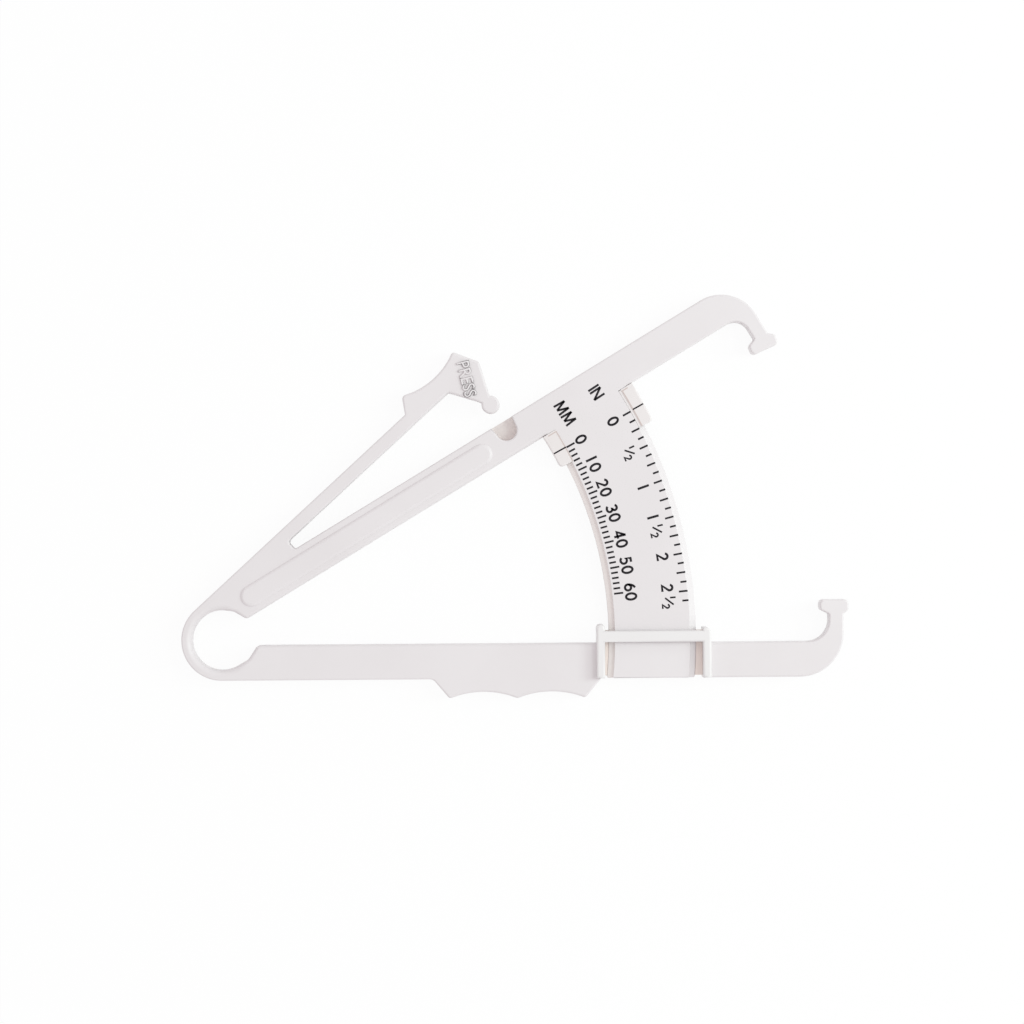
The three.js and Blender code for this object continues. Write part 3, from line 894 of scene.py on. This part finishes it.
# Upper arm
def on_lever(x, y, radius=0.0, edge=OUTER_ROUND, cut=False):
    return turned(Corner(x, y, radius, edge, cut), LEVER_ANGLE)


def pocket_centre():
    """Where the ball lies when the lever is pressed."""
    spoke = ball_centre - lever_pivot
    spoke.rotate(Matrix.Rotation(-math.radians(PRESS_ANGLE), 2))
    return turned(tuple(lever_pivot + spoke), LEVER_ANGLE)


def pocket_corners():
    """The pocket for the ball, from its mouth on the right round to its mouth on the left."""
    home = pocket_centre()
    radius = BALL_RADIUS + POCKET_FIT
    mouth = radius + POCKET_FLARE
    return [
        Corner(home[0] + mouth, upper_outer, edge=POCKET_ROUND),
        *moved(arc(radius, 0, -180, edge=POCKET_ROUND), *home),
        Corner(home[0] - mouth, upper_outer, edge=POCKET_ROUND),
    ]


def scale_arc():
    """The arc, which runs on a little way into the arm that carries it."""
    places = [
        (ARC_INNER, ARC_LIFT, ARC_CORNER),
        (arc_outer, ARC_LIFT, ARC_CORNER),
        (arc_outer, rail_top - RIGHT_RAIL_FALL, ARC_CORNER),
        (face_right, rail_top, RAIL_CORNER),
        (face_right, THICKNESS, RAIL_CORNER),
        (face_left, THICKNESS, RAIL_CORNER),
        (face_left, rail_top, RAIL_CORNER),
        (ARC_INNER, rail_top - LEFT_RAIL_FALL, ARC_CORNER),
    ]
    section = Outline([Corner(*place, edge=1.0) for place in places])

    def start(radius):
        return math.degrees(math.asin((upper_inner + INNER_ROUND) / radius))

    def end(radius):
        return math.degrees(math.asin(lower_outer / radius)) - OPEN_ANGLE

    return Shape().sweep(section, start, end, ARC_STATIONS, ARC_END_ROUND)


def is_shaded(x, y, z):
    """Whether a place on the upper arm is in the pocket or on the arc's left rail, the shaded hollows that
    get a painted glow.
    """
    home = pocket_centre()
    reach = BALL_RADIUS + POCKET_FIT + POCKET_FLARE
    in_pocket = abs(x - home[0]) < reach and y > home[1] - reach and z > pocket_floor - POCKET_ROUND
    rail_level = rail_top - LEFT_RAIL_FALL - POCKET_ROUND
    on_rail = y < upper_inner and math.hypot(x, y) < face_left and z > rail_level
    return z < THICKNESS - POCKET_ROUND and (in_pocket or on_rail)


def upper_arm():
    leave = polar(LOOP_BORE, UPPER_MOUTH_ANGLE)
    run = polar(UPPER_MOUTH_RUN, UPPER_MOUTH_ANGLE - 90)
    arc_left, arc_right = (math.sqrt(radius ** 2 - upper_inner ** 2) for radius in (ARC_INNER, arc_outer))
    before_pocket = [
        *arc(LOOP_BORE, 90 + LEVER_ANGLE, UPPER_MOUTH_ANGLE, edge=BORE_ROUND),
        Corner(leave.x + run.x, leave.y + run.y, KNEE_RADIUS, INNER_ROUND),
        Corner(UPPER_NOSE, upper_inner, UPPER_NOSE_RADIUS, UPPER_NOSE_ROUND),
        Corner(arc_left - INNER_ROUND, upper_inner, edge=INNER_ROUND),
        Corner(arc_left, upper_inner, edge=0.0),
        Corner(arc_right, upper_inner, edge=0.0),
        Corner(arc_right + INNER_ROUND, upper_inner, edge=JAW_ROUND),
        *reversed(jaw_corners(upper_reach, UPPER_NECK_SHIFT, upper_inner, upper_outer,
                              UPPER_INNER_RADIUS, UPPER_OUTER_RADIUS, -closed_angle)),
    ]
    pocket = pocket_corners()
    after_pocket = [
        on_lever(SLOT_END, slot_floor, SLOT_CORNER, POCKET_ROUND),
        on_lever(SLOT_END, lever_inner, SLOT_CORNER, POCKET_ROUND),
        on_lever(FLEXURE_START, lever_inner, cut=True),
        on_lever(FLEXURE_START, loop_outer),
        on_lever(0, loop_outer, cut=True),
    ]
    back = Outline(before_pocket + [pocket[0], pocket[-1]] + after_pocket)
    front = Outline(before_pocket + pocket + after_pocket)
    shape = Shape()
    shape.prism(back, 0, pocket_floor, top=False)
    shape.prism(front, pocket_floor, THICKNESS, bottom=False)
    shape.shelf(pocket[::-1], pocket_floor, up=True)
    shape = shape.united(scale_arc())
    # The pocket and the arc's left rail get the painted glow, a lighter, warmer colour for light through
    # the plastic
    for face in shape.mesh.faces:
        face.material_index = int(is_shaded(*face.calc_center_median()))
    made = shape.piece("upper_arm_moulding", OPEN_ANGLE, white, MOULDING)
    made.data.materials.append(hollow_painted_glow)
    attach(made, "upper_arm")
    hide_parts("upper_arm", "upper_jaw", "upper_jaw_foot", "scale_arc")


def label_panel():
    radius = PANEL_WIDTH / 2
    middle = upper_inner + PANEL_INSET + radius

    def end(x, start):
        return moved(arc(radius, start, start + 180, edge=PANEL_ROUND), x, middle)

    outline = Outline(end(PANEL_START + PANEL_LENGTH - radius, -90) + end(PANEL_START + radius, 90))
    shape = Shape().prism(outline, THICKNESS - PANEL_DEPTH, THICKNESS + PANEL_RAISE, steps=PANEL_STEPS)
    made = shape.piece("label_panel_moulding", OPEN_ANGLE, white, MOULDING)
    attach(made, "upper_arm")
    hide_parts("label_panel")


# Press lever
def press_lever():
    """The lever's leaf, thumb pad and ball."""
    back = on_lever(PAD_START + PAD_BACK, loop_outer + PAD_BACK_HEIGHT, PAD_BACK_RADIUS, GRIP_ROUND)
    front = on_lever(PAD_START + PAD_FRONT, loop_outer + PAD_FRONT_HEIGHT, PAD_CORNER, GRIP_ROUND)
    neck_top = loop_outer - BALL_DROP + NECK_RISE
    root, tip = BALL_ROOT_WIDTH / 2, BALL_TIP_WIDTH / 2
    root_corners = [on_lever(ball_centre.x + side * root, neck_top, edge=GRIP_ROUND) for side in (-1, 1)]
    waist = math.degrees(math.acos(tip / BALL_RADIUS))
    ball = moved(arc(BALL_RADIUS, 180 - waist, 360 + waist, edge=GRIP_ROUND), *ball_centre)
    ball = [turned(corner, LEVER_ANGLE) for corner in ball]
    head = [
        on_lever(FLEXURE_START, lever_inner),
        on_lever(PAD_START, lever_inner),
        on_lever(PAD_START + PAD_KNEE, lever_inner, PAD_CORNER, GRIP_ROUND),
    ]
    tail = [
        on_lever(PAD_START + PAD_NOSE, loop_outer - PAD_NOSE_DROP, PAD_CORNER, GRIP_ROUND),
        front,
        *hollow(front, back, PAD_HOLLOW, GRIP_ROUND),
        back,
        on_lever(PAD_START, loop_outer),
        on_lever(FLEXURE_START, loop_outer, cut=True),
    ]
    shape = Shape()
    shape.prism(Outline(head + root_corners + tail, step=BEND_STEP), 0, ball_underside, top=False)
    neck = root_corners[:1] + ball + root_corners[1:]
    shape.prism(Outline(head + neck + tail, step=BEND_STEP), ball_underside, THICKNESS, bottom=False)
    shape.shelf(Outline(neck, step=BEND_STEP).points, ball_underside, up=False)
    made = shape.piece("press_lever_moulding", OPEN_ANGLE, white, MOULDING)
    middle = (lever_inner + loop_outer) / 2
    start, end = ((*turned(turned((x, middle), LEVER_ANGLE), OPEN_ANGLE), THICKNESS / 2)
                  for x in (FLEXURE_START, LEAF_BEND_END))
    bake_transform(made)
    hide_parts("lever_flexure", "lever_leaf", "thumb_pad", "click_ball")


def raised_word():
    """The word stands proud of the pad, and its sloping sides are painted dark as painted shade, lighter
    near one point along the word.
    """
    shape = Shape(lettering(WORD, WORD_HEIGHT, WORD_RISE, WORD_SLOPE))
    low, high = corners_of(shape.mesh)
    narrow = Matrix.Scale(WORD_LENGTH / (high[0] - low[0]), 4, (1, 0, 0))
    here = Matrix.Translation((WORD_ALONG, WORD_UP, THICKNESS - WORD_RISE / 2))
    here = here @ Matrix.Rotation(math.radians(WORD_TURN), 4, "Z")
    fade_point = place(OPEN_ANGLE + LEVER_ANGLE) @ here @ Vector((FADE_ALONG, 0, 0))
    # Painted shade for the letters' sloping sides, lighter near one point along the word
    letter_side_shade = ink("painted_letter_side_shade", colour=(0.05, 0.042, 0.045), shade=(0.64, 0.6, 0.61),
               scale=420.0, sharp=0.06, fade_point=fade_point)
    bmesh.ops.transform(shape.mesh, matrix=here @ narrow, verts=shape.mesh.verts)
    shape.clean()
    # Sloping faces take the painted shade
    for face in shape.mesh.faces:
        face.material_index = int(face.normal.z < FACING_UP)
    made = shape.piece("raised_word", OPEN_ANGLE + LEVER_ANGLE, white, MOULDING)
    made.data.materials.append(letter_side_shade)
    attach(made, "press_lever")


# Slider
def slider():
    """A channel round the arc, in layers: its back, its two walls and the lips over the arc's rails.

    The left lip has a thin strip that covers the edge of the arc's face, and the right lip has one
    that is level with the face."""
    left, right = ARC_INNER - SLIDER_FIT, arc_outer + SLIDER_FIT
    lip_left, lip_right = face_left - SLIDER_LIP_GAP, arc_outer - SLIDER_RIGHT_LIP
    cover = (lip_left - STRIP_OVERLAP, face_left + COVER_REACH)
    ledge = (face_right + SLIDER_LIP_GAP, lip_right + STRIP_OVERLAP)
    out_left, out_right = left - SLIDER_LEFT_WALL, right + SLIDER_RIGHT_WALL
    top = upper_inner - SLIDER_TOP_GAP
    floor_level, lip_level, face = ARC_LIFT - SLIDER_FIT, rail_top + SLIDER_FIT, THICKNESS + SLIDER_PROUD

    def edge(radius, wide=SLIDER_ROUND):
        if radius in cover + ledge:
            return STRIP_ROUND
        return LIP_ROUND if radius in (lip_left, lip_right) else wide

    def low_end(radius, short):
        corner = SLIDER_CORNER if radius in (out_left, out_right) else 0.0
        angle = math.degrees(short / radius) - SLIDER_ANGLE
        return polar(radius, angle, edge=edge(radius))._replace(radius=corner)

    def high_end(radius, short):
        angle = math.degrees(math.asin((top - short) / radius))
        return polar(radius, angle, edge=edge(radius, SLIDER_TOP_ROUND))

    def side(radius):
        """Corners up along one radius, without the two ends."""
        end = math.degrees(math.asin(top / radius))
        return arc(radius, -SLIDER_ANGLE, end, step=SLIDER_STEP, edge=edge(radius))[1:-1]

    def band(radii, short=0.0):
        """A strip across some radii, from the lowest to the highest of them, or shorter at its ends."""
        return [
            *(low_end(radius, short) for radius in radii),
            *side(radii[-1]),
            *(high_end(radius, short) for radius in reversed(radii)),
            *reversed(side(radii[0])),
        ]

    shape = Shape()
    shape.prism(Outline(band((out_left, left, right, out_right))), SLIDER_FLOOR_GAP, floor_level, top=False)
    shape.shelf(band((left, right)), floor_level, up=True)
    for wall, lip in (((out_left, left), (out_left, left, lip_left)),
                      ((right, out_right), (lip_right, right, out_right))):
        shape.prism(Outline(band(wall)), floor_level, lip_level, bottom=False, top=False)
        shape.prism(Outline(band(lip)), lip_level, face, bottom=False)
        under = sorted(set(lip) - {out_left, out_right})
        shape.shelf(band(under), lip_level, up=False)
    for radii, low, high in ((cover, THICKNESS + SLIDER_LIP_GAP, face - STRIP_DROP),
                             (ledge, lip_level + STRIP_DROP, THICKNESS)):
        shape = shape.united(Shape().prism(Outline(band(radii, STRIP_END)), low, high))
    made = shape.piece("slider_moulding", OPEN_ANGLE, cream, "white_slider")
    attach(made, "slider")
    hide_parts("slider")

    shape = Shape()
    for radii in ((out_left + INDEX_MARGIN, cover[1]), (lip_right, out_right - INDEX_MARGIN)):
        ends = [turned((radius, 0.0), INDEX_ANGLE) for radius in radii]
        line(shape, *ends, INDEX_WIDTH, face)
    made = shape.piece("slider_index_lines", 0, black, None)
    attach(made, "slider")

    # A dark band along each lip's edge by the arc and across near the slider's top end: painted shade in
    # the gap
    shape = Shape()
    for radius, far in ((cover[1] - SEAM_SHADE_WIDTH / 2, out_left + SEAM_SHADE_LEFT_END),
                        (lip_right + SEAM_SHADE_WIDTH / 2, out_right - SEAM_SHADE_RIGHT_END)):
        high = top - SEAM_SHADE_DROP
        along = arc(radius, -SLIDER_ANGLE, math.degrees(math.asin(high / radius)), step=SLIDER_STEP)
        corner = Vector((math.sqrt(far ** 2 - high ** 2), high))
        shape.stroke([Vector((c.x, c.y)) for c in along] + [corner], SEAM_SHADE_WIDTH, face)
    made = shape.piece("slider_painted_seam_shade", OPEN_ANGLE, seam_painted_shade, "white_slider")
    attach(made, "slider")


# Printing
def bow(x, y, across, up, start, end):
    """Points round a part of an ellipse, from one angle to another."""
    count = math.ceil(abs(end - start) / BOW_STEP)
    turns = [math.radians(start + (end - start) * i / count) for i in range(count + 1)]
    return [(x + across * math.cos(turn), y + up * math.sin(turn)) for turn in turns]


# The middle line of each stroke, in shares of the glyph's height
GLYPH_SHARES = {
    "0": [bow(0.30, 0.50, 0.30, 0.50, 90, 450)],
    "1": [[(0.30, -0.08), (0.30, 1.08)]],
    "2": [bow(0.28, 0.72, 0.27, 0.28, 165, -25) + [(0.02, 0), (0.62, 0)]],
    "3": [bow(0.26, 0.76, 0.25, 0.24, 155, -80) + bow(0.26, 0.27, 0.30, 0.27, 80, -155)],
    "4": [[(0.44, 1), (0, 0.26), (0.66, 0.26)], [(0.44, 1.08), (0.44, -0.08)]],
    "5": [[(0.50, 1), (0.12, 1), (0.06, 0.54)] + bow(0.24, 0.31, 0.32, 0.31, 120, -145)],
    "6": [bow(0.30, 0.30, 0.29, 0.30, 0, 360), bow(0.50, 0.30, 0.49, 0.70, 105, 180)],
    "I": [[(0, -0.08), (0, 1.08)]],
    "M": [[(0, -0.08), (0.08, 1.08)], [(0.08, 1.08), (0.46, 0)],
          [(0.46, 0), (0.84, 1.08)], [(0.84, 1.08), (0.92, -0.08)]],
    "N": [[(0, -0.08), (0, 1.08)], [(0, 1.08), (0.72, -0.08)], [(0.72, -0.08), (0.72, 1.08)]],
}


def line(shape, start, end, width, height):
    """One printed line, with square ends."""
    shape.stroke([Vector(start), Vector(end)], width, height)


def tick(shape, angle, low, high):
    line(shape, turned((low, 0.0), angle), turned((high, 0.0), angle), TICK_WIDTH, THICKNESS)


def on_scale(point, radius, angle):
    """A point of a text that reads clockwise round the arc, its tops outwards."""
    return Vector(turned((radius, 0.0), angle)) + Vector(turned(tuple(point), angle - 90))


def printed_text(shape, text, height, stroke, radius, angle, aside=(0.0, 0.0)):
    """Glyphs with their middle at a place on the scale, moved aside along and up their line."""
    strokes, along = [], 0.0
    for glyph in text:
        shares = GLYPH_SHARES[glyph]
        width = DIGIT_WIDTH_SHARE if glyph.isdigit() else max(x for points in shares for x, y in points)
        strokes += [[(along + x * height, (y - 0.5) * height) for x, y in points] for points in shares]
        along += width * height + GLYPH_GAP
    shift = Vector(aside) - Vector(((along - GLYPH_GAP) / 2, 0.0))
    for points in strokes:
        places = [on_scale(Vector(point) + shift, radius, angle) for point in points]
        shape.stroke(places, stroke, THICKNESS)


def printed_half(shape, radius, angle):
    """A small one, a slash and a small two."""
    printed_text(shape, "1", HALF_ONE_HEIGHT, HALF_STROKE, radius, angle, HALF_ONE)
    printed_text(shape, "2", HALF_TWO_HEIGHT, HALF_STROKE, radius, angle, HALF_TWO)
    reach = Vector(turned((SLASH_LENGTH / 2, 0.0), SLASH_ANGLE))
    ends = [on_scale(Vector(SLASH_PLACE) + reach * side, radius, angle) for side in (-1, 1)]
    line(shape, *ends, HALF_STROKE, THICKNESS)


def numeral(shape, number, radius, angle):
    printed_text(shape, str(number), NUMERAL_HEIGHT, NUMERAL_STROKE, radius, angle)


def printed(name, shape):
    made = shape.piece(name, 0, black, None)
    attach(made, "upper_arm")


def millimetre_scale():
    shape = Shape()
    for i in range(MM_TICKS):
        length = MM_TICK_SHORT if i % MM_TICKS_PER_TEN else MM_TICK_LONG
        angle = ZERO_ANGLE - MM_TICK_TURN * i
        tick(shape, angle, MM_TICK_START, MM_TICK_START + length)
        if i % MM_TICKS_PER_TEN == 0:
            numeral(shape, MM_PER_TICK * i, MM_NUMERAL_RADIUS, angle)
    printed_text(shape, "MM", UNIT_HEIGHT, UNIT_STROKE, MM_UNIT_RADIUS, UNIT_ANGLE)
    printed("millimetre_scale", shape)


def inch_scale():
    shape = Shape()
    for i in range(INCH_TICKS):
        length = INCH_TICK_SHORT if i % 2 else INCH_TICK_LONG
        tick(shape, ZERO_ANGLE - INCH_TICK_TURN * i, INCH_TICK_END - length, INCH_TICK_END)
    for i in range(INCH_HALVES):
        angle = ZERO_ANGLE - INCH_TICK_TURN * INCH_TICKS_PER_HALF * i
        whole, half = divmod(i, 2)
        before = math.degrees(WHOLE_BEFORE_HALF / INCH_NUMERAL_RADIUS) if half else 0.0
        after = math.degrees(HALF_AFTER_WHOLE / INCH_NUMERAL_RADIUS) if whole else 0.0
        if whole or not half:
            numeral(shape, whole, INCH_NUMERAL_RADIUS, angle + before)
        if half:
            printed_half(shape, INCH_NUMERAL_RADIUS, angle - after)
    printed_text(shape, "IN", UNIT_HEIGHT, UNIT_STROKE, INCH_UNIT_RADIUS, UNIT_ANGLE)
    printed("inch_scale", shape)


# Surroundings
def background_share(nodes, links):
    """1 where the camera, a gloss or a glass sees the background, and 0 where it only lights."""
    path = nodes.new("ShaderNodeLightPath")
    share = path.outputs["Is Camera Ray"]
    for ray in ("Is Glossy Ray", "Is Transmission Ray"):
        share = calculated(nodes, links, "MAXIMUM", share, path.outputs[ray])
    return share


def mix_shaders(nodes, links, share, first, second, out):
    """Joins two shaders by a share of the second, for the output."""
    mix = nodes.new("ShaderNodeMixShader")
    for socket, value in zip(mix.inputs, (share, first.outputs[0], second.outputs[0])):
        links.new(value, socket)
    links.new(mix.outputs["Shader"], out.inputs["Surface"])


def floor():
    """A white floor, which shows only a little of the object's shadow."""
    bpy.ops.mesh.primitive_plane_add(size=FLOOR_SIZE * MM, location=(0, 0, -FLOOR_DROP * MM))
    made = bpy.context.object
    made.name = "floor"
    material = bpy.data.materials.new("floor_white")
    material.use_nodes = True
    nodes, links = material.node_tree.nodes, material.node_tree.links
    nodes.clear()
    matt = nodes.new("ShaderNodeBsdfDiffuse")
    matt.inputs["Color"].default_value = (*FLOOR_COLOUR, 1)
    glow = nodes.new("ShaderNodeEmission")
    share = calculated(nodes, links, "MULTIPLY", background_share(nodes, links), FLOOR_GLOW_SHARE)
    mix_shaders(nodes, links, share, matt, glow, nodes.new("ShaderNodeOutputMaterial"))
    made.data.materials.append(material)


def world():
    """A pale sky for light, and white where it is seen."""
    made = bpy.data.worlds.new("studio")
    bpy.context.scene.world = made
    made.use_nodes = True
    nodes, links = made.node_tree.nodes, made.node_tree.links
    back = nodes["Background"]
    back.inputs["Color"].default_value = (*SKY_COLOUR, 1)
    back.inputs["Strength"].default_value = SKY_LIGHT
    shown = nodes.new("ShaderNodeBackground")
    shown.inputs["Color"].default_value = (1, 1, 1, 1)
    mix_shaders(nodes, links, background_share(nodes, links), back, shown, nodes["World Output"])


def lamp(name, elevation, power):
    """A soft square lamp that looks at the middle of the object."""
    data = bpy.data.lights.new(name, "AREA")
    data.size = LAMP_SIZE * MM
    data.energy = power
    data.color = LAMP_COLOUR
    made = bpy.data.objects.new(name, data)
    bpy.context.scene.collection.objects.link(made)
    across, up = math.cos(math.radians(elevation)), math.sin(math.radians(elevation))
    made.location = Vector((*turned((across, 0.0), LAMP_AZIMUTH), up)) * (LAMP_DISTANCE * MM)
    made.rotation_euler = made.location.to_track_quat("Z", "Y").to_euler()


def camera():
    """Straight above, as far from the loop's centre as the photograph has it."""
    data = bpy.data.cameras.new("camera")
    made = bpy.data.objects.new("camera", data)
    bpy.context.scene.collection.objects.link(made)
    half = IMAGE_SIZE / 2
    across = (half - LOOP_PIXEL[0]) / PIXELS_PER_MM
    up = (LOOP_PIXEL[1] - half) / PIXELS_PER_MM
    x, y = turned((across, up), CAMERA_ROLL)
    made.location = Vector((LOOP_CENTRE.x + x, LOOP_CENTRE.y + y, THICKNESS + CAMERA_DISTANCE)) * MM
    made.rotation_euler = (0, 0, math.radians(CAMERA_ROLL))
    data.sensor_width = SENSOR
    data.lens = SENSOR * CAMERA_DISTANCE * PIXELS_PER_MM / IMAGE_SIZE
    bpy.context.scene.camera = made


camera()
lower_arm()
lower_jaw()
guide()
spring_loop()
upper_arm()
label_panel()
press_lever()
raised_word()
slider()
millimetre_scale()
inch_scale()

floor()
world()
lamp("key", elevation=30, power=2.4)
lamp("top", elevation=55, power=1.6)
bpy.context.scene.view_settings.view_transform = "Standard"
